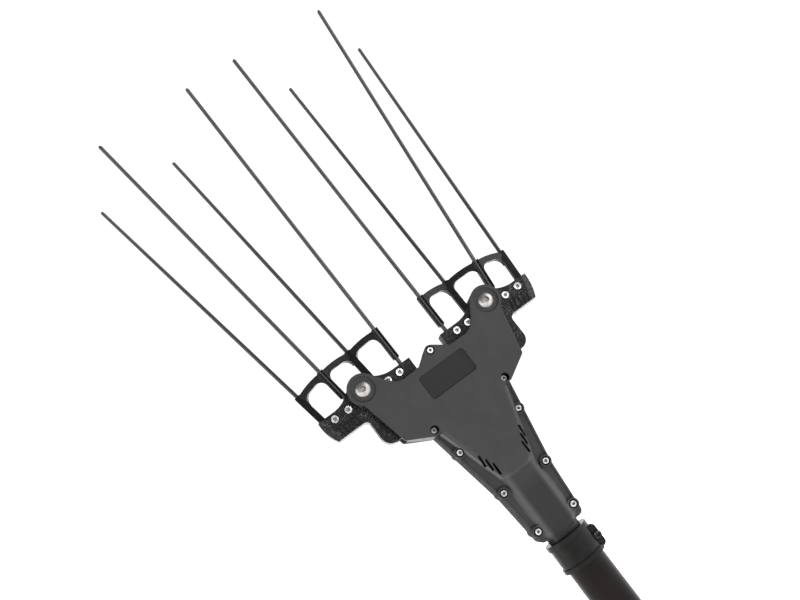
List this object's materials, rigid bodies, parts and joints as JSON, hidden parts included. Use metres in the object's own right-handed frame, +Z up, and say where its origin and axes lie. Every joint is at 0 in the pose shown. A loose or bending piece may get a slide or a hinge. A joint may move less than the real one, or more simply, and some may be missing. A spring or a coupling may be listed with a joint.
{
  "type": "electric olive harvester head",
  "caption": "Olive harvester head on the top of its pole: a Y-shaped motor housing with rocking forks of straight tines that shake fruit from the twigs.",
  "frame": {"origin": "middle of the pole section's open lower end, where the next pole section or the handle plugs in", "axes": "+Z up along the pole to the tines, +X to the right fork, -Y the front with the cover screws' heads"},
  "size_m": [0.351, 0.14, 0.7424],
  "materials": {
    "cover_grey": "fine moulded grain",
    "cover_dark": "fine moulded grain",
    "arm_black": "glass-filled, speckled",
    "black_plastic": "matt",
    "carbon": "drawn fibre rod, satin",
    "screw_zinc": "bright zinc",
    "screw_black": "blackened",
    "bolt_nickel": "nickel plated",
    "bronze": "sintered bronze",
    "brass": "bright",
    "motor_steel": "drawn",
    "gear_steel": "ground and oiled",
    "aluminium": "machined",
    "black_anodised": "black anodised",
    "pole_lacquer": "gloss black lacquer"
  },
  "bodies": {
    "housing": {"front_cover": "cover_grey", "rear_cover": "cover_dark", "cover_screws": "screw_zinc", "pivot_bolts": "bolt_nickel", "pivot_nuts": "bolt_nickel", "thrust_washers": "bronze", "motor_can": "motor_steel", "motor_front_plate": "aluminium", "motor_end_cap": "black_plastic", "motor_bearings": "gear_steel", "crank_bearings": "gear_steel", "pole_socket": "black_anodised", "pole_tube": "pole_lacquer", "clamp_collar": "arm_black", "clamp_screw": "screw_black", "clamp_nut": "screw_black", "power_inlet": "black_plastic", "inlet_pins": "brass"},
    "left_fork": {"left_front_arm": "arm_black", "left_rear_arm": "arm_black", "left_pivot_bush": "bronze", "left_lever_pin": "gear_steel", "left_arm_screws": "screw_zinc", "left_arm_nuts": "screw_zinc", "left_comb": "arm_black", "left_tine_1": "carbon", "left_tine_2": "carbon", "left_tine_3": "carbon", "left_tine_4": "carbon"},
    "right_fork": {"right_front_arm": "arm_black", "right_rear_arm": "arm_black", "right_pivot_bush": "bronze", "right_lever_pin": "gear_steel", "right_arm_screws": "screw_zinc", "right_arm_nuts": "screw_zinc", "right_comb": "arm_black", "right_tine_1": "carbon", "right_tine_2": "carbon", "right_tine_3": "carbon", "right_tine_4": "carbon"},
    "left_link": {"left_drive_link": "aluminium", "left_link_bush": "bronze"},
    "right_link": {"right_drive_link": "aluminium", "right_link_bush": "bronze"},
    "crank": {"crankshaft": "gear_steel", "crown_gear": "gear_steel"},
    "rotor": {"motor_rotor": "motor_steel", "bevel_pinion": "gear_steel"}
  },
  "joints": [
    {"name": "left_fork_swing", "type": "hinge", "parent": "housing", "child": "left_fork", "pos_m": [-0.07, 0, 0.3775], "axis": [0, 1, 0], "range_deg": [-4, 4]},
    {"name": "right_fork_swing", "type": "hinge", "parent": "housing", "child": "right_fork", "pos_m": [0.07, 0, 0.3775], "axis": [0, 1, 0], "range_deg": [-4, 4]},
    {"name": "left_link_pivot", "type": "hinge", "parent": "left_fork", "child": "left_link", "pos_m": [-0.063, 0, 0.3335], "axis": [0, 1, 0], "range_deg": [-4, 4]},
    {"name": "right_link_pivot", "type": "hinge", "parent": "right_fork", "child": "right_link", "pos_m": [0.063, 0, 0.3335], "axis": [0, 1, 0], "range_deg": [-4, 4]},
    {"name": "crank_turn", "type": "hinge", "parent": "housing", "child": "crank", "pos_m": [0, 0, 0.3295], "axis": [0, 1, 0], "range_deg": [-90, 90]},
    {"name": "rotor_turn", "type": "hinge", "parent": "housing", "child": "rotor", "pos_m": [0, 0, 0.2425], "axis": [0, 0, 1], "range_deg": [-225, 225]}
  ],
  "couplings": [
    {"joint": "right_fork_swing", "follows": "left_fork_swing", "ratio": -1},
    {"joint": "left_link_pivot", "follows": "left_fork_swing", "ratio": -1},
    {"joint": "right_link_pivot", "follows": "left_fork_swing", "ratio": 1},
    {"joint": "crank_turn", "follows": "left_fork_swing", "ratio": -22.5},
    {"joint": "rotor_turn", "follows": "left_fork_swing", "ratio": -56.25}
  ]
}
